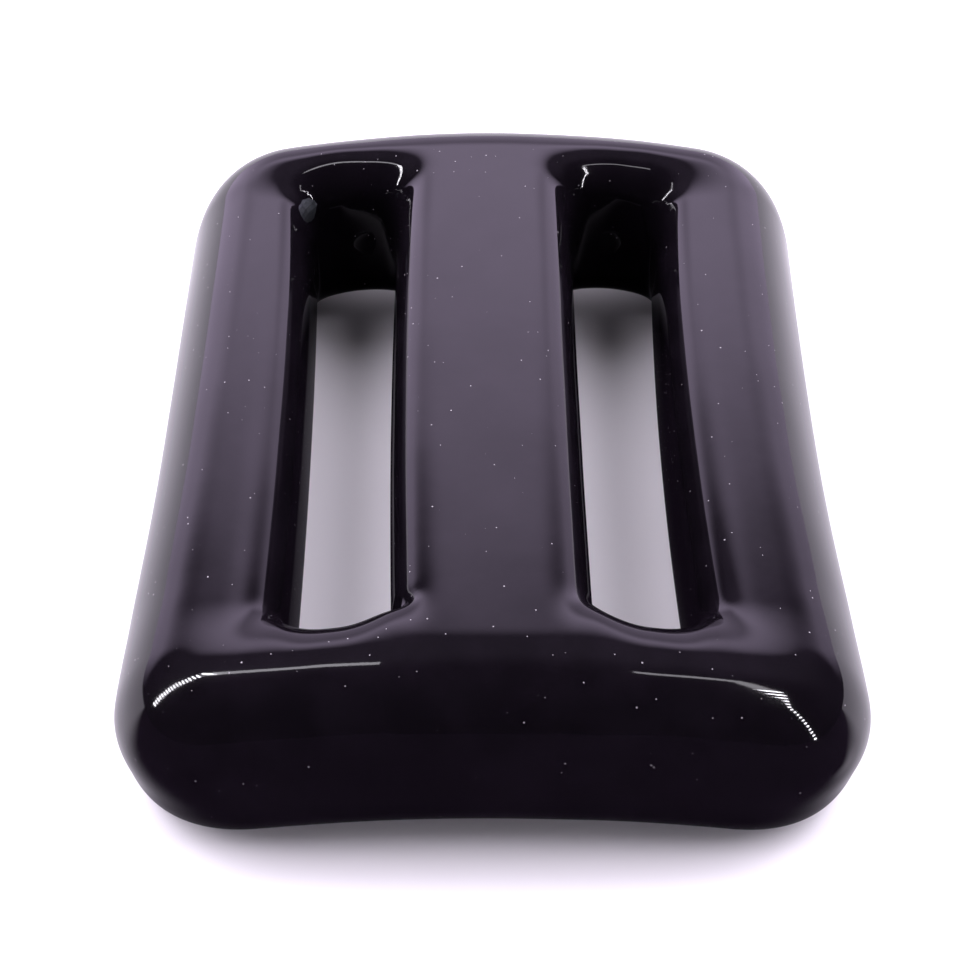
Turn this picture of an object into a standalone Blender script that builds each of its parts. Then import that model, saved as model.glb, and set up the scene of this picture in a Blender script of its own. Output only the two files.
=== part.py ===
"""Dive belt weight: a cast lead core dip-coated in black vinyl, with two slots that lace onto a 50 mm belt.

Metres, +Z up. The belt runs along X, up one slot and down the other, and the slots are long in Y. The weight
curves about Y to sit on the hip, so it rests on two feet, at z = 0, with a low arch between them. The origin
is at the middle of the footprint. The end at -Y hung lowest as the coating dripped off: its skin is thicker.
"""

import math

import bmesh
import bpy
from mathutils import Matrix

COLLECTION_NAME = "dive_weight"
CUTTERS_NAME = "cutters"

# Driving dimensions of the coated outside.
WIDTH = 0.0658  # across the middle; the ends are wider by the waist
LENGTH = 0.0797
PLATE_THICKNESS = 0.0187  # of the plate before it is curved
CORNER_RADIUS = 0.0122  # of the outline seen from above
TOP_EDGE_DEPTH = 0.0085  # how far in the rounding of the upper edges reaches
TOP_EDGE_POWER = 2.15  # of the superellipse that rounds them: 2 is a true ellipse
FOOT_EDGE_DEPTH = 0.0060  # the lower edges are tighter
FOOT_EDGE_POWER = 2.4
WIDEST_DROP = 0.0035  # how far under the mid-plane the sides stand out most
ARCH_RISE = 0.0031  # from the feet to the middle of the arch
WAIST = 0.0004  # extra half-width at each end
SLOT_LENGTH = 0.0556  # at the narrowest, so it passes 50 mm webbing
SLOT_WIDTH = 0.0088
SLOT_SPACING = 0.0260  # from one slot's middle to the other's
SLOT_SHIFT = -0.0005  # the mould's slots are a little off centre
RIM_RADIUS = 0.0042  # of the rounding around each slot
RIM_TURN = math.radians(66)  # how much of that rounding is kept before it runs out to the face
FLARE_REACH = 1.12  # where it meets the face, in rim radii from the slot's wall
FLARE_RISE = 0.05  # and how far past the face, in rim radii

# The skin, the core in it, and the marks of the two dipping hooks.
COAT = 0.0018
DRIP = 0.0006  # extra skin at the end that hung lowest
FIT_GAP = 0.0003  # between pieces that touch
HOOK_MARK_RADIUS = 0.0016
DAB_DOME = 0.0003  # how far a touch-up dab stands into its slot
GATE_RADIUS = 0.0032
GATE_DEPTH = 0.0005  # of the dimple where the casting gate broke off
GATE_TAPER = 0.8  # its floor's radius over its rim's
DAB_CHAMFER = 0.9  # a dab's inner end over its full radius
DAB_TURN = math.radians(80)  # how far the dome of a dab curves over
DAB_STEPS = 3

# Fineness of the solids.
CORNER_STEPS = 28  # around an outline
SLOT_STEPS = 32
EDGE_STEPS = 10  # over the rounding of the sides, top to bottom
RIM_STEPS = 4
ARCH_SLICES = 14
WAIST_SLICES = 8
SMALL_STEPS = 16
CUTTER_REACH = 0.006  # how far a cutter passes the surface that it cuts
FLOOR_TOOL_SIZE = 0.2
SMOOTH_ANGLE = math.radians(35)

FOOT_X = WIDTH / 2 - FOOT_EDGE_DEPTH  # where the underside starts to round up into the side
BASE_Z = PLATE_THICKNESS / 2 + ARCH_RISE  # height of the plate's mid-plane over the feet


def slot_x(side):
    return side * SLOT_SPACING / 2 + SLOT_SHIFT


def arch(x):
    """Height of the curved mid-plane over the floor."""
    return BASE_Z - ARCH_RISE * (x / FOOT_X) ** 2


def waisted(x, y):
    """x with the outline drawn in towards the middle of its length."""
    return x * (1 + WAIST / (WIDTH / 2) * (2 * y / LENGTH) ** 2)


def new_object(name, bm, collection, material=None):
    bmesh.ops.recalc_face_normals(bm, faces=bm.faces)
    mesh = bpy.data.meshes.new(name)
    bm.to_mesh(mesh)
    bm.free()
    obj = bpy.data.objects.new(name, mesh)
    collection.objects.link(obj)
    if material:
        mesh.materials.append(material)
        mesh.shade_smooth()
        mesh.set_sharp_from_angle(angle=SMOOTH_ANGLE)
    else:
        obj.hide_render = True
        obj.display_type = "WIRE"
    return obj


def turned(profile, steps):
    """A closed bmesh turned about Z from a profile of (radius, height), with a flat cap at each end."""
    bm = bmesh.new()
    verts = [bm.verts.new((radius, 0, height)) for radius, height in profile]
    edges = [bm.edges.new(pair) for pair in zip(verts, verts[1:])]
    # Half a step of turn puts a flat, not a corner, on each of the four sides.
    bmesh.ops.rotate(bm, verts=verts, matrix=Matrix.Rotation(math.pi / steps, 3, "Z"))
    bmesh.ops.spin(bm, geom=verts + edges, axis=(0, 0, 1), angle=math.tau, steps=steps, use_merge=True)
    bmesh.ops.holes_fill(bm, edges=[edge for edge in bm.edges if edge.is_boundary])
    return bm


def stretched(bm, half_x, half_y):
    """Moves the four quarters of a turned shape apart, so a circle becomes a rounded rectangle or a slot."""
    for vert in bm.verts:
        vert.co.x += math.copysign(half_x, vert.co.x)
        vert.co.y += math.copysign(half_y, vert.co.y)
    return bm


def flat_radius(radius, steps):
    """Corner radius of the turned polygon whose flats are at the given radius."""
    return radius / math.cos(math.pi / steps)


def sliced(bm, axis, count, span):
    """Cuts edges across every face at even steps, so that the faces can bend."""
    normal = [0, 0, 0]
    normal[axis] = 1
    for number in range(1, count):
        place = [0, 0, 0]
        place[axis] = span * (number / count - 0.5)
        everything = bm.verts[:] + bm.edges[:] + bm.faces[:]
        bmesh.ops.bisect_plane(bm, geom=everything, plane_co=place, plane_no=normal)
    return bm


def curved(bm):
    for vert in bm.verts:
        vert.co.z += arch(vert.co.x)
    return bm


def edge_profile(inset):
    """(radius, height) points over the rounding of the sides, from the top face to the underside."""
    half_thickness = PLATE_THICKNESS / 2 - inset
    upper = (TOP_EDGE_DEPTH - inset, half_thickness + WIDEST_DROP, TOP_EDGE_POWER)
    lower = (FOOT_EDGE_DEPTH - inset, half_thickness - WIDEST_DROP, FOOT_EDGE_POWER)
    profile = []
    for number in range(EDGE_STEPS + 1):
        angle = math.pi * (0.5 - number / EDGE_STEPS)
        depth, height, power = upper if angle > 0 else lower
        out = abs(math.cos(angle)) ** (2 / power)
        up = math.copysign(abs(math.sin(angle)) ** (2 / power), angle)
        radius = CORNER_RADIUS - inset - depth * (1 - out)
        profile.append((flat_radius(radius, CORNER_STEPS), height * up - WIDEST_DROP))
    return profile


def block(inset):
    """The weight without its slots, every surface moved in by inset."""
    bm = turned(edge_profile(inset), CORNER_STEPS)
    stretched(bm, WIDTH / 2 - CORNER_RADIUS, LENGTH / 2 - CORNER_RADIUS)
    sliced(bm, 0, ARCH_SLICES, WIDTH)
    sliced(bm, 1, WAIST_SLICES, LENGTH)
    for vert in bm.verts:
        vert.co.x = waisted(vert.co.x, vert.co.y)
        if inset:
            vert.co.y = vert.co.y * (1 - DRIP / LENGTH) + DRIP / 2
    return curved(bm)


def slot(inset):
    """The tool for one slot, flared at both rims, with its walls moved back into the lead by inset."""
    rim = RIM_RADIUS - inset
    half_thickness = PLATE_THICKNESS / 2 - inset
    radius = SLOT_WIDTH / 2 + inset
    flare = []
    for number in range(RIM_STEPS + 1):
        angle = RIM_TURN * number / RIM_STEPS
        flare.append((radius + rim * (1 - math.cos(angle)), half_thickness - rim * (1 - math.sin(angle))))
    flare.append((radius + rim * FLARE_REACH, half_thickness + rim * FLARE_RISE))
    flare.append((radius + rim * FLARE_REACH, half_thickness + CUTTER_REACH))
    profile = flare[::-1] + [(out, -height) for out, height in flare]
    profile = [(flat_radius(out, SLOT_STEPS), height) for out, height in profile]
    return stretched(turned(profile, SLOT_STEPS), 0, SLOT_LENGTH / 2 - SLOT_WIDTH / 2)


def moved(bm, offset):
    bmesh.ops.translate(bm, verts=bm.verts, vec=offset)
    return bm


def cut(obj, cutter):
    modifier = obj.modifiers.new(cutter.name, "BOOLEAN")
    modifier.object = cutter
    modifier.operation = "DIFFERENCE"
    modifier.solver = "EXACT"


def slotted(name, inset, collection, material=None):
    """The whole weight with both slots and flat feet, every surface moved in by inset."""
    obj = new_object(name, block(inset), collection, material)
    for side, label in ((-1, "left"), (1, "right")):
        tool = curved(moved(slot(inset), (slot_x(side), 0, 0)))
        cut(obj, new_object(f"{name}_{label}_slot_tool", tool, cutters))
    floor = bmesh.new()
    bmesh.ops.create_cube(floor, size=FLOOR_TOOL_SIZE)
    cut(obj, new_object(f"{name}_floor_tool", moved(floor, (0, 0, inset - FLOOR_TOOL_SIZE / 2)), cutters))
    return obj


def along_y(bm, offset):
    """Turns a shape made along Z so that its top faces +Y, then places it."""
    bmesh.ops.rotate(bm, verts=bm.verts, matrix=Matrix.Rotation(-math.pi / 2, 3, "X"))
    return moved(bm, offset)


def make_hook_mark(side, label):
    """The hole that a hook left in the lining at a slot's far end, and the dab of vinyl that closes it."""
    centre = (slot_x(side), SLOT_LENGTH / 2, arch(slot_x(side)))
    hole = turned([(HOOK_MARK_RADIUS, 2 * COAT), (HOOK_MARK_RADIUS, -COAT)], SMALL_STEPS)
    cut(vinyl_coating, new_object(f"hook_hole_{label}", along_y(hole, centre), cutters))

    radius = HOOK_MARK_RADIUS - FIT_GAP
    profile = [(radius * DAB_CHAMFER, COAT), (radius, COAT * DAB_CHAMFER), (radius, 0)]
    for number in range(1, DAB_STEPS + 1):
        angle = DAB_TURN * number / DAB_STEPS
        profile.append((radius * math.cos(angle), -DAB_DOME * math.sin(angle)))
    new_object(f"touch_up_dab_{label}", along_y(turned(profile, SMALL_STEPS), centre), parts, dab_vinyl)


def make_gate_mark():
    """The shallow dimple in the lead's far end where the casting gate was broken off."""
    far_y = LENGTH / 2 - COAT - FIT_GAP
    profile = [(GATE_RADIUS, CUTTER_REACH), (GATE_RADIUS, 0), (GATE_RADIUS * GATE_TAPER, -GATE_DEPTH)]
    tool = turned(profile, SMALL_STEPS)
    cut(lead_core, new_object("gate_tool", along_y(tool, (0, far_y, arch(0))), cutters))


def principled(name, colour, roughness, metallic):
    material = bpy.data.materials.new(name)
    material.use_nodes = True
    shader = material.node_tree.nodes["Principled BSDF"]
    shader.inputs["Base Color"].default_value = (*colour, 1)
    shader.inputs["Roughness"].default_value = roughness
    shader.inputs["Metallic"].default_value = metallic
    return material


for leftover in list(bpy.data.objects):
    bpy.data.objects.remove(leftover)
parts = bpy.data.collections.new(COLLECTION_NAME)
cutters = bpy.data.collections.new(CUTTERS_NAME)
for group in (parts, cutters):
    bpy.context.scene.collection.children.link(group)

coat_vinyl = principled("black_vinyl", (0.008, 0.007, 0.010), 0.12, 0)
dab_vinyl = principled("touch_up_vinyl", (0.010, 0.009, 0.012), 0.2, 0)
cast_lead = principled("cast_lead", (0.16, 0.17, 0.19), 0.55, 1)

vinyl_coating = slotted("vinyl_coating", 0, parts, coat_vinyl)
cut(vinyl_coating, slotted("core_pocket", COAT, cutters))
lead_core = slotted("lead_core", COAT + FIT_GAP, parts, cast_lead)
for side, label in ((-1, "left"), (1, "right")):
    make_hook_mark(side, label)
make_gate_mark()
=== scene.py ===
"""The coated dive weight's looks: its dip-coated skin as one dense surface, its materials, and the light box.

Metres throughout. The skin is the zero level of a formula, surface_level. A crude block is voxel-meshed and
its points are then moved onto that level, so every edge and rim is as smooth as the formula.
"""

import math

import bmesh
import bpy
import numpy as np
from mathutils import Matrix, Vector


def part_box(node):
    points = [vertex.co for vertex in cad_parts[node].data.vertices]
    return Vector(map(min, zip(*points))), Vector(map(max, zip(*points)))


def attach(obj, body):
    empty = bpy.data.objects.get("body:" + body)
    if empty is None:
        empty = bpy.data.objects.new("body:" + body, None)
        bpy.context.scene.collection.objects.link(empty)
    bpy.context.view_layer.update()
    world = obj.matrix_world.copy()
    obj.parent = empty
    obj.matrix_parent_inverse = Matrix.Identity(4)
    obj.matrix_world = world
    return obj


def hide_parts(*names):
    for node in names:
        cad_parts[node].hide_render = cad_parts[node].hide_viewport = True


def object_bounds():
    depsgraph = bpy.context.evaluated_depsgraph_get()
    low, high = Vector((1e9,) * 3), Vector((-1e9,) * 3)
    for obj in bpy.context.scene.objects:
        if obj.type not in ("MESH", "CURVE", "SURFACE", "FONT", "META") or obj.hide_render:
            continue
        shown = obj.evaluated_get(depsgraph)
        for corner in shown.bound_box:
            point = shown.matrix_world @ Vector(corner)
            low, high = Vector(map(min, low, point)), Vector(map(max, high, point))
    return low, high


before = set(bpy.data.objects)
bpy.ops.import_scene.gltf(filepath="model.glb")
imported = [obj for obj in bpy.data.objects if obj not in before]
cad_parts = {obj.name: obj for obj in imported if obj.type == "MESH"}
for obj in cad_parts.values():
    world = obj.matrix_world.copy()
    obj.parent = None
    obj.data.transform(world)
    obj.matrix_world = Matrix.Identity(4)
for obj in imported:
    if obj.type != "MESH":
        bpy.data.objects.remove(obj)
cad_low, cad_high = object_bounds()

MM = 0.001

# The coated outside: an arched plate with rounded edges, standing on its two long sides.
LENGTH = cad_high.y - cad_low.y
WIDTH = 65.8 * MM
PLATE = 18.7 * MM
ARCH_RISE = 3.1 * MM
WIDEST_DROP = 3.5 * MM  # how far below the mid-plane the plate is widest
FOOT_DEPTH, FOOT_POWER = 6.0 * MM, 2.4
FOOT_ROLL = 0.9 * MM
FOOT_X = WIDTH / 2 - FOOT_DEPTH
MIDDLE_Z = PLATE / 2 + ARCH_RISE

# Half its width: in the middle, what the ends add, and what the bulge near the near end adds.
HALF_LEFT = (32.9 * MM, 0.25 * MM, 0.5 * MM)
HALF_RIGHT = (32.3 * MM, 0.9 * MM, 0.6 * MM)
BULGE_Y, BULGE_REACH = -25 * MM, 13 * MM
SIDES_BLEND = 4 * MM

# Its corners in plan, and how deep its top edge is rounded: depth, and power of the curve.
CORNER_POWER = 2.2
FAR_CORNER = 11.4 * MM
NEAR_CORNER, NEAR_TOP_CORNER = 13.0 * MM, 9.5 * MM
NEAR_CORNER_LIFT = (-2 * MM, 8 * MM)  # heights over which the near corner goes from one to the other
TOP_DEPTH, TOP_POWER = 8.6 * MM, 2.15
NEAR_DEPTH, NEAR_POWER = 8.6 * MM, 2.45
FAR_DEPTH = 8.7 * MM
NEAR_ZONE, FAR_ZONE = (-22 * MM, -33 * MM), (20 * MM, 33 * MM)
CENTRE_BAR_DEPTH = 0.7 * MM  # added to the near edge's depth in front of the centre bar
CENTRE_BAR_LEFT, CENTRE_BAR_RIGHT = (-9.5 * MM, -6.5 * MM), (13 * MM, 7 * MM)

# How its top sinks: at the far edge, and on the side bars towards the slots.
FAR_SINK, FAR_SINK_ZONE = 0.25 * MM, (31 * MM, 38 * MM)
CROWN_DEPTH, CROWN_REACH = 0.6 * MM, 6.0 * MM
TOP_ZONE = (10 * MM, 16 * MM)
SIDE_BAR_ZONE, SIDE_BAR_ENDS = (13 * MM, 17 * MM), (34 * MM, 26 * MM)

# Each slot: its middle and width, and how both change towards the ends.
SLOT_LENGTH = 55.6 * MM
SLOTS = (
    {"centre": -14.0 * MM, "drift": -0.6 * MM, "bow": 0.0, "width": 8.5 * MM, "swell": 0.8 * MM},
    {"centre": 12.6 * MM, "drift": -0.25 * MM, "bow": 0.5 * MM, "width": 8.6 * MM, "swell": 0.6 * MM},
)
END_SAG = {"near": 1.8 * MM, "far": 0.8 * MM}
END_CORNER = {"near": 1.7 * MM, "far": 2.0 * MM}
END_BLEND = (-5 * MM, 5 * MM)
ARC_FADE = 1.6  # the arc of a slot's end fades again beyond the slot's sides
RIM_RADIUS = 5.2 * MM
ROUNDING = 2.8  # above 2, so that a rounded edge starts gently

# Where the coat drew out to a point at a slot's corner, and where it ran, as it set.
CUSP_X, CUSP_Y, CUSP_HEIGHT = -8.4 * MM, -26.9 * MM, 1.2 * MM
CUSP_WIDE, CUSP_LONG = 1.5 * MM, 0.8 * MM
RUN_AT, RUN_REACH, RUN_HEIGHT = (28.5 * MM, -37.5 * MM, 12.4 * MM), 1.4 * MM, 0.26 * MM
SLOW_RIPPLE, QUICK_RIPPLE = 0.016 * MM, 0.006 * MM
COAT = 1.8 * MM

# The dabs of touch-up vinyl.
DAB_SPREAD, DAB_HEIGHT, DAB_SAG = 1.15, 0.18 * MM, 0.22
DAB_LOBES, DAB_OVAL = 0.07, 0.05

# How the surface is meshed.
VOXEL = 0.7 * MM
INNER_VOXEL = 1.4 * MM
PROBE = 0.02 * MM  # step for measuring slopes of the formula
LONGEST_STEP = 2 * MM
LEAST_SLOPE = 0.05

# Colours.
BLACK, DULL_BLACK = (0.0025, 0.0018, 0.003), (0.004, 0.0035, 0.0045)
DUST = (0.22, 0.20, 0.23)
LEAD, RUBBED_LEAD = (0.20, 0.21, 0.235), (0.46, 0.47, 0.50)
DARK_OXIDE, PALE_OXIDE = (0.085, 0.09, 0.105), (0.24, 0.25, 0.275)
# The paper's two mirrored colours are painted reflections: a greyer paper for the gloss, and a near-black
# painted as shade.
PAPER, PAPER_PAINTED_REFLECTION, PAINTED_SHADE_REFLECTION = (0.86, 0.82, 0.89), (0.42, 0.40, 0.44), (0.014, 0.009, 0.017)
WHITE, LILAC, LAMP_WHITE = (1.0, 0.97, 1.03), (1.2, 1.0, 1.4), (1.0, 0.97, 1.05)

# Gloss, as shader roughness, and dust: the spacing and largest radius of its specks, and the share of places
# that hold one.
WET_GLOSS, BRUSHED_GLOSS, HANDLING, DUST_ROUGHNESS = 0.05, 0.14, 0.035, 0.7
FINE_DUST, COARSE_DUST = (0.8 * MM, 0.08 * MM, 0.50), (2.9 * MM, 0.15 * MM, 0.30)

# The camera, from the origin at the middle of the footprint.
CAMERA_AT = Vector((-0.27, -115.35, 139.3)) * MM
CAMERA_DOWN = math.radians(49.77)
LENS = 64.81
SENSOR = 36.0

# The light box: its back wall as the gloss shows it, and the glow that lights the paper.
WALL_GLOW, WALL_END = 1.9, (0.75, 1.85)  # the end is in rise over run
SKIRTING, SKIRTING_RISE, SKIRTING_SLANT = 1.15, (0.45, 0.82), (0.3, 0.8)
WALL_LOWERS = 1.5  # how fast the wall's end comes down to the sides
CEILING_GLOW, LEAST_GLOW = 0.12, 0.012
WALL_SIDES, RIGHT_EARLIER = (0.2, 0.9), 0.1  # where the wall fades to its sides, and how much sooner at right
SIDE_GLOW = 2.4
GLOW_TOP, GLOW_FOOT, GLOW_FRONT = (0.65, 0.85), (0.08, 0.30), (-0.75, -0.15)
BACKGROUND = 1.05

# Where the paper's painted reflection turns to painted shade: from here on in front, and within these
# distances under the slots.
PAINTED_SHADE_FRONT = (-42 * MM, -29 * MM)
PAINTED_SHADE_UNDER_X, PAINTED_SHADE_UNDER_Y = (15 * MM, 22 * MM), (26 * MM, 34 * MM)

# Broad soft lights, high up behind the weight: turn from straight behind, tilt from straight down, strength.
KEYS = (
    ("key_left", -37, 37, 2.2),
    ("key_right", 37, 37, 2.2),
    ("side_left", -80, 36, 2.2),
    ("side_right", 80, 36, 2.2),
)
KEY_SPREAD = math.radians(44)

# Lamp strings, each a bright part and a dim one overhead: stops in metres, number of lamps, lamp radius in
# millimetres, how much longer a lamp is across its string than along it, and strength.
LEFT_START = (-0.320, -0.066, 0.079), (-0.281, -0.039, 0.177), (-0.211, -0.004, 0.252)
LEFT_TURN, RIGHT_TURN = (-0.167, 0.022, 0.276), (0.167, -0.112, 0.271)
STRINGS = {
    "strip_left": ((*LEFT_START, LEFT_TURN), 18, 3.4, 4.2, 55),
    "strip_left_dim": ((LEFT_TURN, (-0.134, 0.005, 0.294), (-0.060, -0.005, 0.310)), 34, 2.6, 4.0, 6),
    "strip_right": (((0.245, -0.242, 0.020), (0.178, -0.202, 0.215), RIGHT_TURN), 17, 3.0, 2.6, 75),
    "strip_right_dim": ((RIGHT_TURN, (0.153, -0.070, 0.287), (0.070, -0.067, 0.312)), 34, 2.6, 3.0, 5),
}


# ---------------------------------------------------------------- the skin's formula


def smooth_bump(distance, width):
    return np.exp(-((distance / width) ** 2))


def smooth_step(value, start, end):
    t = np.clip((value - start) / (end - start), 0, 1)
    return t * t * (3 - 2 * t)


def mid_height(x):
    """Height of the curved mid-plane."""
    return MIDDLE_Z - ARCH_RISE * (x / FOOT_X) ** 2


def half_width(x, y):
    """Half the width at y, a little different on the two sides, and fuller towards the ends."""
    ends = (2 * y / LENGTH) ** 2
    bulge = smooth_bump(y - BULGE_Y, BULGE_REACH)
    left, right = (base + more * ends + extra * bulge for base, more, extra in (HALF_LEFT, HALF_RIGHT))
    side = 0.5 + 0.5 * np.tanh(x / SIDES_BLEND)
    return left * (1 - side) + right * side


def rounded_box(px, py, half_x, half_y, radius):
    """Distance outside a rounded rectangle, negative inside it."""
    qx = np.abs(px) - (half_x - radius)
    qy = np.abs(py) - (half_y - radius)
    out = (np.maximum(qx, 0) ** CORNER_POWER + np.maximum(qy, 0) ** CORNER_POWER) ** (1 / CORNER_POWER)
    return out + np.minimum(np.maximum(qx, qy), 0) - radius


def rounded_max(a, b, radius):
    """The larger of two levels, with the edge between them rounded."""
    ra, rb = np.maximum(a + radius, 0), np.maximum(b + radius, 0)
    corner = (ra**ROUNDING + rb**ROUNDING) ** (1 / ROUNDING) - radius
    return np.where((ra > 0) & (rb > 0), corner, np.maximum(a, b))


def body_level(p, inset):
    """The plate without its slots: a superellipse section carried round the rounded outline."""
    x, y, z = p
    lift = z - mid_height(x) + WIDEST_DROP
    upper = lift > 0
    near = smooth_step(y, *NEAR_ZONE)
    high = smooth_step(lift, *NEAR_CORNER_LIFT)
    near_corner = NEAR_CORNER + (NEAR_TOP_CORNER - NEAR_CORNER) * high
    corner = np.where(y < 0, near_corner, FAR_CORNER)
    inward = rounded_box(x, y, half_width(x, y), LENGTH / 2, corner) + inset
    between = smooth_step(x, *CENTRE_BAR_LEFT) * smooth_step(x, *CENTRE_BAR_RIGHT)
    near_depth = NEAR_DEPTH + CENTRE_BAR_DEPTH * between
    far = smooth_step(y, *FAR_ZONE)
    top_depth = TOP_DEPTH + (near_depth - TOP_DEPTH) * near + (FAR_DEPTH - TOP_DEPTH) * far
    depth = np.where(upper, top_depth, FOOT_DEPTH) - inset
    height = np.where(upper, PLATE / 2 + WIDEST_DROP, PLATE / 2 - WIDEST_DROP) - inset
    power = np.where(upper, TOP_POWER + (NEAR_POWER - TOP_POWER) * near, FOOT_POWER)
    across = np.maximum(inward + depth, 0) / depth
    along = np.abs(lift) / height
    return depth * ((across**power + along**power) ** (1 / power) - 1)


def slot_level(p, slot, inset):
    """Distance into a slot's empty space, so it is positive where there is no vinyl."""
    x, y, _ = p
    t = 2 * y / SLOT_LENGTH
    middle = slot["centre"] + slot["drift"] * t + slot["bow"] * t**2
    half = (slot["width"] + slot["swell"] * t**2) / 2
    far = smooth_step(y, *END_BLEND)
    sag = END_SAG["near"] + (END_SAG["far"] - END_SAG["near"]) * far
    corner = END_CORNER["near"] + (END_CORNER["far"] - END_CORNER["near"]) * far
    sides = np.abs(x - middle) - half
    out = ((x - middle) / half) ** 2
    arc = out / (1 + (out / ARC_FADE) ** 3)
    ends = np.abs(y) + sag * arc - SLOT_LENGTH / 2
    point = smooth_bump(x - CUSP_X, CUSP_WIDE) * smooth_bump(y - CUSP_Y, CUSP_LONG)
    return inset + CUSP_HEIGHT * point - rounded_max(sides, ends, corner)


def ripple(p):
    """The faint unevenness of a dipped and dripping coat."""
    x, y, z = p / MM
    slow = np.sin(x / 3.1 + 0.7 * np.sin(y / 9)) * np.cos(y / 11 + z / 6)
    quick = np.sin(y / 2.3 + x / 4.7 + 1.3) * np.cos(x / 2.9 - z / 3.1)
    return SLOW_RIPPLE * slow + QUICK_RIPPLE * quick


def surface_level(p, inset=0.0):
    """Zero on the skin's outside, or on the surface that far inside it, and negative within."""
    x, y, z = p
    holes = [slot_level(p, slot, inset) for slot in SLOTS]
    sunk = np.exp(-((np.minimum(np.maximum(*holes), 0) / CROWN_REACH) ** 2))
    on_side_bar = smooth_step(np.abs(x), *SIDE_BAR_ZONE) * smooth_step(np.abs(y), *SIDE_BAR_ENDS)
    sink = CROWN_DEPTH * sunk * on_side_bar + FAR_SINK * smooth_step(y, *FAR_SINK_ZONE)
    level = body_level(p, inset) + smooth_step(z, *TOP_ZONE) * sink
    for hole in holes:
        level = rounded_max(level, hole, RIM_RADIUS - inset)
    level = rounded_max(level, inset - z, FOOT_ROLL)
    if inset:
        return level
    gap = p - np.array(RUN_AT).reshape(3, 1)
    run = RUN_HEIGHT * np.exp(-(gap**2).sum(0) / RUN_REACH**2)
    return level - run + ripple(p)


# ---------------------------------------------------------------- from formula to mesh


def slope(p, inset):
    """The formula's gradient."""
    grad = np.empty_like(p)
    for axis in range(3):
        step = np.zeros((3, 1))
        step[axis] = PROBE
        grad[axis] = (surface_level(p + step, inset) - surface_level(p - step, inset)) / (2 * PROBE)
    return grad


def onto_surface(points, inset, rounds):
    """Moves points along the gradient until they lie on the surface."""
    p = points.T.copy()
    for _ in range(rounds):
        grad = slope(p, inset)
        step = surface_level(p, inset) / np.maximum((grad**2).sum(0), LEAST_SLOPE)
        p -= grad * np.clip(step, -LONGEST_STEP, LONGEST_STEP)
    return p.T


def relaxed(points, edges, rounds):
    """Evens out the points' spacing."""
    a, b = edges[:, 0], edges[:, 1]
    count = np.bincount(edges.ravel(), minlength=len(points))[:, None]
    for _ in range(rounds):
        total = np.zeros_like(points)
        np.add.at(total, a, points[b])
        np.add.at(total, b, points[a])
        points = 0.5 * points + 0.5 * total / count
    return points


def crude_block(voxel):
    """A voxel-meshed block with two square holes: the skin's topology, before it is shaped."""
    bpy.ops.mesh.primitive_cube_add(size=1, location=(0, 0, MIDDLE_Z - 1.2 * MM))
    block = bpy.context.object
    block.scale = (WIDTH, LENGTH, PLATE + 2 * MM)
    bpy.ops.object.transform_apply(location=True, scale=True)
    tools = []
    for shape in SLOTS:
        bpy.ops.mesh.primitive_cube_add(size=1, location=(shape["centre"], 0, MIDDLE_Z))
        tool = bpy.context.object
        tool.scale = (shape["width"] - 1 * MM, SLOT_LENGTH - 3 * MM, 3 * PLATE)
        cut = block.modifiers.new("slot", "BOOLEAN")
        cut.object = tool
        tools.append(tool)
    remesh = block.modifiers.new("voxels", "REMESH")
    remesh.mode = "VOXEL"
    remesh.voxel_size = voxel
    made = bpy.data.meshes.new_from_object(block.evaluated_get(bpy.context.evaluated_depsgraph_get()))
    for spare in (block, *tools):
        bpy.data.objects.remove(spare)
    return made


def points_of(mesh):
    points = np.empty(len(mesh.vertices) * 3)
    mesh.vertices.foreach_get("co", points)
    return points.reshape(-1, 3)


def shaped(voxel, inset, finer):
    """The formula's surface as a mesh, inset into the vinyl, with each face split in four if finer."""
    mesh = crude_block(voxel)
    edges = np.empty(len(mesh.edges) * 2, int)
    mesh.edges.foreach_get("vertices", edges)
    edges = edges.reshape(-1, 2)
    points = onto_surface(points_of(mesh), inset, 8)
    for _ in range(6):
        points = onto_surface(relaxed(points, edges, 2), inset, 2)
    mesh.vertices.foreach_set("co", points.ravel())
    if finer:
        holder = bpy.data.objects.new("finer", mesh)
        bpy.context.collection.objects.link(holder)
        split = holder.modifiers.new("split", "SUBSURF")
        split.levels = split.render_levels = 1
        graph = bpy.context.evaluated_depsgraph_get()
        mesh = bpy.data.meshes.new_from_object(holder.evaluated_get(graph))
        bpy.data.objects.remove(holder)
        points = onto_surface(points_of(mesh), inset, 4)
        mesh.vertices.foreach_set("co", points.ravel())
    return mesh


def make_skin():
    """The coat as a closed hollow body: its outside, and inside it the pocket that the lead fills."""
    outer = shaped(VOXEL, 0.0, finer=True)
    inner = shaped(INNER_VOXEL, COAT, finer=False)
    inner.flip_normals()
    both = bmesh.new()
    both.from_mesh(outer)
    both.from_mesh(inner)
    both.to_mesh(outer)
    both.free()
    skin = bpy.data.objects.new("vinyl_skin", outer)
    bpy.context.collection.objects.link(skin)
    outer.shade_smooth()
    return skin


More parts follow.
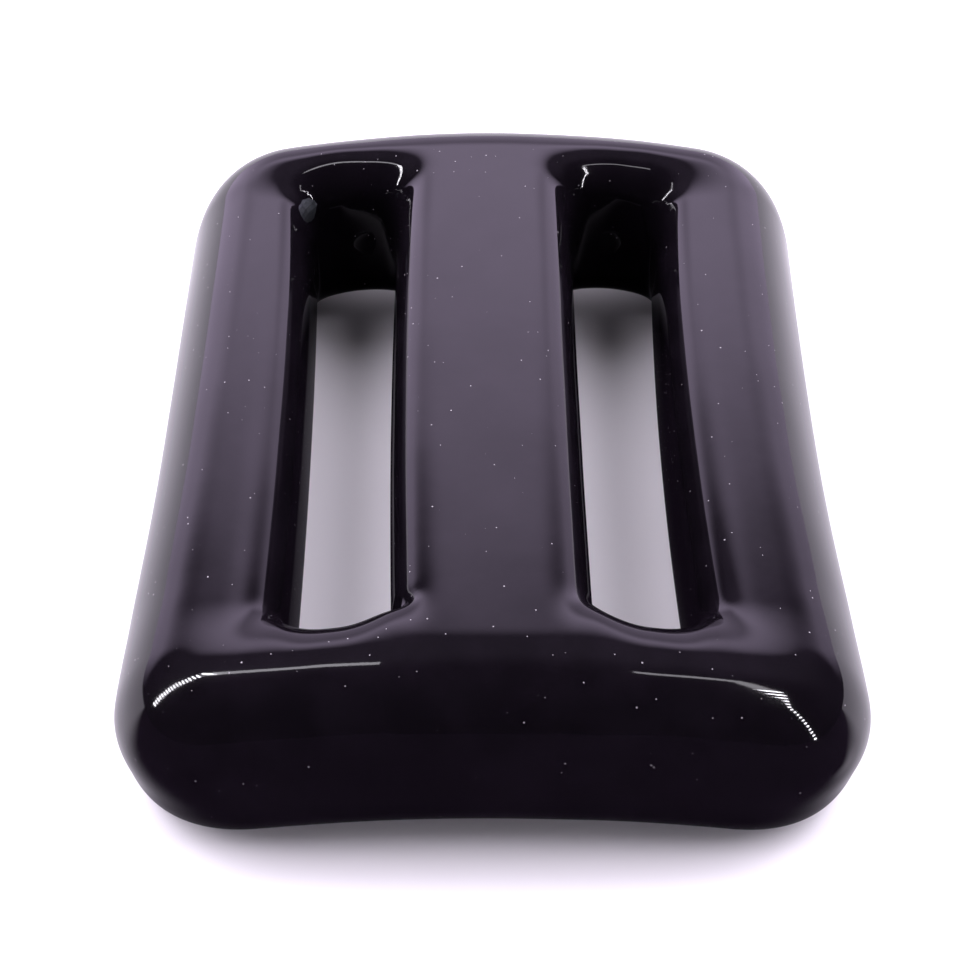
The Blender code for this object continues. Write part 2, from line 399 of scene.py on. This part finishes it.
def make_dab(label, node):
    """A dab of touch-up vinyl that closed a hook's mark: a low, lopsided drop on the slot's far wall."""
    low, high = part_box(node)
    middle = (low + high) / 2
    radius = (high.x - low.x) / 2 * DAB_SPREAD
    made = bmesh.new()
    bmesh.ops.create_uvsphere(made, u_segments=40, v_segments=20, radius=1)
    for vert in made.verts:
        x, y, z = vert.co
        angle = math.atan2(z, x)
        wobble = 1 + DAB_LOBES * math.sin(3 * angle + middle.x / MM) + DAB_OVAL * math.cos(2 * angle)
        sag = DAB_SAG * radius * (1 - z) * (x * x + z * z)
        vert.co = (x * radius * wobble, y * DAB_HEIGHT, z * radius * wobble - sag)
    mesh = bpy.data.meshes.new(f"dab_{label}")
    made.to_mesh(mesh)
    made.free()
    mesh.shade_smooth()
    dab = bpy.data.objects.new(f"dab_{label}", mesh)
    bpy.context.collection.objects.link(dab)
    dab.location = (middle.x, wall_place(middle.x, middle.z), middle.z)
    return dab


def wall_place(x, z):
    """Where the skin's far slot wall is at this place."""
    along = np.linspace(20 * MM, 36 * MM, 400)
    line = np.stack([np.full_like(along, x), along, np.full_like(along, z)])
    return float(along[np.argmax(surface_level(line) < 0)])


# ---------------------------------------------------------------- materials


def principled(name, colour, roughness, metallic=0.0):
    material = bpy.data.materials.new(name)
    material.use_nodes = True
    shader = material.node_tree.nodes["Principled BSDF"]
    shader.inputs["Base Color"].default_value = (*colour, 1)
    shader.inputs["Roughness"].default_value = roughness
    shader.inputs["Metallic"].default_value = metallic
    return material


class Nodes:
    """Short ways to add and join the nodes of one material or world."""

    def __init__(self, owner):
        self.tree = owner.node_tree
        self.shader = self.tree.nodes.get("Principled BSDF")

    def add(self, kind, **inputs):
        node = self.tree.nodes.new(kind)
        for name, value in inputs.items():
            self.put(node.inputs[name.replace("_", " ")], value)
        return node

    def put(self, socket, value):
        if isinstance(value, bpy.types.NodeSocket):
            self.tree.links.new(value, socket)
        else:
            socket.default_value = value

    def place(self):
        return self.add("ShaderNodeTexCoord").outputs["Object"]

    def noise(self, scale, detail=3.0, rough=0.55):
        """Noise in the object's own space; the scale is in features per metre."""
        inputs = {"Vector": self.place(), "Scale": scale, "Detail": detail, "Roughness": rough}
        return self.add("ShaderNodeTexNoise", **inputs).outputs["Fac"]

    def ramp(self, value, low, high, start=0.0, end=1.0):
        node = self.tree.nodes.new("ShaderNodeMapRange")
        node.interpolation_type = "SMOOTHSTEP"
        for socket, number in zip(node.inputs, (value, low, high, start, end)):
            self.put(socket, number)
        return node.outputs[0]

    def calc(self, kind, *values):
        node = self.tree.nodes.new("ShaderNodeMath")
        node.operation = kind
        for socket, value in zip(node.inputs, values):
            self.put(socket, value)
        return node.outputs[0]

    def mix(self, amount, first, second):
        node = self.tree.nodes.new("ShaderNodeMix")
        node.data_type = "RGBA"
        colours = [socket for socket in node.inputs if socket.type == "RGBA"]
        self.put(node.inputs[0], amount)
        for socket, colour in zip(colours, (first, second)):
            self.put(socket, colour if isinstance(colour, bpy.types.NodeSocket) else (*colour, 1))
        return [socket for socket in node.outputs if socket.type == "RGBA"][0]

    def bump(self, height, distance, under=None):
        node = self.add("ShaderNodeBump", Height=height, Distance=distance, Strength=1.0)
        if under:
            self.put(node.inputs["Normal"], under)
        return node.outputs[0]

    def specks(self, spacing, radius, share):
        """1 inside sparse round specks: one cell in so many holds one, each of its own size."""
        cells = self.add("ShaderNodeTexVoronoi", Vector=self.place(), Scale=1 / spacing)
        chance = self.add("ShaderNodeSeparateColor", Color=cells.outputs["Color"])
        size = self.calc("MULTIPLY", chance.outputs[1], radius / spacing)
        near = self.calc("LESS_THAN", cells.outputs["Distance"], size)
        return self.calc("MULTIPLY", near, self.calc("LESS_THAN", chance.outputs[0], share))


def vinyl(name, colour, roughness):
    """Dip-coated vinyl: a wet-looking black with faint orange peel, dull patches from handling, and dust."""
    material = principled(name, colour, roughness)
    n = Nodes(material)
    dust = n.calc("MAXIMUM", n.specks(*FINE_DUST), n.specks(*COARSE_DUST))
    handled = n.ramp(n.noise(90), 0.50, 0.72)
    tone = n.mix(n.ramp(n.noise(240), 0.35, 0.70), colour, [1.5 * part for part in colour])
    n.put(n.shader.inputs["Base Color"], n.mix(dust, tone, DUST))
    worn = n.calc("ADD", n.calc("MULTIPLY", handled, HANDLING), roughness)
    n.put(n.shader.inputs["Roughness"], n.calc("MAXIMUM", worn, n.calc("MULTIPLY", dust, DUST_ROUGHNESS)))
    peel = n.bump(n.noise(420, 2.0), 0.004 * MM)
    grain = n.bump(n.noise(5200, 2.0), 0.0006 * MM, under=peel)
    n.put(n.shader.inputs["Normal"], n.bump(dust, 0.03 * MM, under=grain))
    return material


def cast_lead():
    """Cold-run cast lead: dull blue-grey, mottled with oxide, pitted, with brighter rubbed spots."""
    material = principled("cast_lead", LEAD, 0.5, 1.0)
    n = Nodes(material)
    mottle = n.ramp(n.noise(160, 6.0, 0.65), 0.35, 0.68)
    rubbed = n.ramp(n.noise(60, 4.0), 0.58, 0.72)
    oxide = n.mix(mottle, DARK_OXIDE, PALE_OXIDE)
    n.put(n.shader.inputs["Base Color"], n.mix(rubbed, oxide, RUBBED_LEAD))
    n.put(n.shader.inputs["Roughness"], n.ramp(mottle, 0.0, 1.0, 0.72, 0.42))
    pits = n.bump(n.specks(1.6 * MM, 0.45 * MM, 0.35), -0.12 * MM)
    n.put(n.shader.inputs["Normal"], n.bump(n.noise(300, 5.0, 0.7), 0.15 * MM, under=pits))
    return material


# ---------------------------------------------------------------- stage, light and camera


def matt(name, colour):
    material = principled(name, colour, 0.9)
    material.node_tree.nodes["Principled BSDF"].inputs["Specular IOR Level"].default_value = 0
    return material


def make_floor():
    """White paper, which the gloss mirrors as a painted greyer reflection, with painted shade in front of the
    weight and under its slots.
    """
    bpy.ops.mesh.primitive_plane_add(size=3)
    floor = bpy.context.object
    floor.name = "floor"
    paper = matt("floor_paper", PAPER)
    n = Nodes(paper)
    x, y, _ = n.add("ShaderNodeSeparateXYZ", Vector=n.place()).outputs
    # Painted shade: the paper's reflection is darkened in front of the weight and under the slots, where
    # shadow and the dark room would show.
    front = n.ramp(y, *PAINTED_SHADE_FRONT, 1.0, 0.0)
    under_x = n.ramp(n.calc("ABSOLUTE", x), *PAINTED_SHADE_UNDER_X, 1.0, 0.0)
    under_y = n.ramp(n.calc("ABSOLUTE", y), *PAINTED_SHADE_UNDER_Y, 1.0, 0.0)
    dark = n.calc("MAXIMUM", front, n.calc("MULTIPLY", under_x, under_y))
    painted_reflection = n.mix(dark, PAPER_PAINTED_REFLECTION, PAINTED_SHADE_REFLECTION)
    # Painted reflection: glossy rays see the paper's painted tones, while the camera sees plain paper.
    glossy = n.add("ShaderNodeLightPath").outputs["Is Glossy Ray"]
    n.put(n.shader.inputs["Base Color"], n.mix(glossy, PAPER, painted_reflection))
    floor.data.materials.append(paper)


def make_world():
    """A light box: a white back wall, brightest at half height and lower to the sides, and dark overhead."""
    world = bpy.data.worlds.new("light_box")
    bpy.context.scene.world = world
    world.use_nodes = True
    n = Nodes(world)
    where = n.add("ShaderNodeTexCoord").outputs["Generated"]
    x, y, z = n.add("ShaderNodeSeparateXYZ", Vector=where).outputs
    across = n.calc("SQRT", n.calc("ADD", n.calc("MULTIPLY", x, x), n.calc("MULTIPLY", y, y)))
    slant = n.calc("ABSOLUTE", n.calc("DIVIDE", x, n.calc("MAXIMUM", y, 0.02)))
    rise = n.calc("DIVIDE", z, n.calc("MAXIMUM", across, 0.001))
    steeper = n.calc("MULTIPLY_ADD", n.calc("MULTIPLY", slant, slant), WALL_LOWERS, 1.0)
    lowered = n.calc("MULTIPLY", rise, steeper)
    wall_top = n.ramp(lowered, *WALL_END, 1.0, 0.0)
    skirting = n.ramp(rise, *SKIRTING_RISE, SKIRTING, 0.0)
    skirting = n.calc("MULTIPLY", skirting, n.ramp(slant, *SKIRTING_SLANT, 1.0, 0.0))
    wall_glow = n.calc("SUBTRACT", WALL_GLOW, skirting)
    facing = n.calc("DIVIDE", y, n.calc("MAXIMUM", across, 0.001))
    right = n.ramp(x, -0.2, 0.2)
    low, high = (n.calc("MULTIPLY_ADD", right, RIGHT_EARLIER, edge) for edge in WALL_SIDES)
    wall_sides = n.ramp(facing, low, high)
    wall = n.calc("MULTIPLY", n.calc("MULTIPLY", wall_top, wall_glow), wall_sides)
    ceiling = n.calc("MULTIPLY", n.ramp(z, 0.3, 0.95, 0.0, CEILING_GLOW), n.ramp(y, -0.15, 0.25))
    box = n.tree.nodes["Background"]
    n.put(box.inputs["Strength"], n.calc("ADD", n.calc("ADD", wall, ceiling), LEAST_GLOW))
    box.inputs["Color"].default_value = (*LILAC, 1)

    # The glow that lights the paper, as a dull surface sees the box: bright at half height, dark in front.
    around = n.calc("MULTIPLY", n.ramp(z, *GLOW_TOP, 1.0, 0.0), n.ramp(y, *GLOW_FRONT))
    around = n.calc("MULTIPLY", around, n.ramp(z, *GLOW_FOOT))
    soft = n.add("ShaderNodeBackground", Color=(*WHITE, 1), Strength=n.calc("MULTIPLY", around, SIDE_GLOW))
    plain = n.add("ShaderNodeBackground", Strength=BACKGROUND)
    path = n.add("ShaderNodeLightPath")
    glossy, seen = n.tree.nodes.new("ShaderNodeMixShader"), n.tree.nodes.new("ShaderNodeMixShader")
    for mixer, ray, other, this in ((glossy, "Is Glossy Ray", soft, box),
                                    (seen, "Is Camera Ray", glossy, plain)):
        for socket, value in zip(mixer.inputs, (path.outputs[ray], other.outputs[0], this.outputs[0])):
            n.put(socket, value)
    n.put(n.tree.nodes["World Output"].inputs["Surface"], seen.outputs[0])
    world.cycles.sampling_method = "NONE"


def make_keys():
    for name, turn, tilt, strength in KEYS:
        light = bpy.data.lights.new(name, "SUN")
        light.energy = strength
        light.angle = KEY_SPREAD
        light.color = WHITE
        lamp = bpy.data.objects.new(name, light)
        lamp.rotation_euler = (math.radians(tilt), 0, math.radians(180 + turn))
        lamp.visible_glossy = False
        bpy.context.collection.objects.link(lamp)


def along_path(stops, count):
    """Evenly spaced points along a path of straight runs."""
    stops = np.array(stops)
    reach = np.concatenate([[0], np.cumsum(np.linalg.norm(np.diff(stops, axis=0), axis=1))])
    places = np.linspace(0, reach[-1], count)
    return np.stack([np.interp(places, reach, stops[:, axis]) for axis in range(3)], 1)


def glowing(name, strength):
    material = bpy.data.materials.new(name)
    material.use_nodes = True
    nodes, links = material.node_tree.nodes, material.node_tree.links
    glow = nodes.new("ShaderNodeEmission")
    glow.inputs["Color"].default_value = (*LAMP_WHITE, 1)
    glow.inputs["Strength"].default_value = strength
    links.new(glow.outputs[0], nodes["Material Output"].inputs["Surface"])
    return material


def make_strip(name, stops, count, radius, stretch, strength):
    """A string of lamps, each longer across the string than along it, which shows only as highlights."""
    made = bmesh.new()
    places = along_path(stops, count)
    for place, run in zip(places, np.gradient(places, axis=0)):
        along = Vector(run).normalized()
        outward = (Vector(place) - along * Vector(place).dot(along)).normalized()
        turn = Matrix((along, outward.cross(along), outward)).transposed().to_4x4()
        shape = Matrix.Diagonal((1, stretch, 1, 1))
        put = Matrix.Translation(place) @ turn @ shape
        bmesh.ops.create_icosphere(made, subdivisions=2, radius=radius, matrix=put)
    mesh = bpy.data.meshes.new(name)
    made.to_mesh(mesh)
    made.free()
    strip = bpy.data.objects.new(name, mesh)
    bpy.context.collection.objects.link(strip)
    mesh.materials.append(glowing(name, strength))
    strip.visible_camera = strip.visible_diffuse = strip.visible_shadow = strip.visible_transmission = False


def make_camera():
    data = bpy.data.cameras.new("camera")
    data.sensor_width = SENSOR
    data.lens = LENS
    data.clip_start = 0.01
    camera = bpy.data.objects.new("camera", data)
    camera.location = CAMERA_AT
    camera.rotation_euler = (math.pi / 2 - CAMERA_DOWN, 0, 0)
    bpy.context.collection.objects.link(camera)
    bpy.context.scene.camera = camera


bpy.context.scene.view_settings.view_transform = "Standard"
make_camera()
make_floor()
make_world()
make_keys()
for name, (stops, count, radius, stretch, strength) in STRINGS.items():
    make_strip(name, stops, count, radius * MM, stretch, strength)

skin = make_skin()
skin.data.materials.append(vinyl("black_vinyl", BLACK, WET_GLOSS))
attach(skin, "root")
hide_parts("vinyl_coating")

touch_up = vinyl("touch_up_vinyl", DULL_BLACK, BRUSHED_GLOSS)
for label in ("left", "right"):
    node = f"touch_up_dab_{label}"
    dab = make_dab(label, node)
    dab.data.materials.append(touch_up)
    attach(dab, "root")
    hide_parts(node)

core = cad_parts["lead_core"]
core.data.materials.clear()
core.data.materials.append(cast_lead())
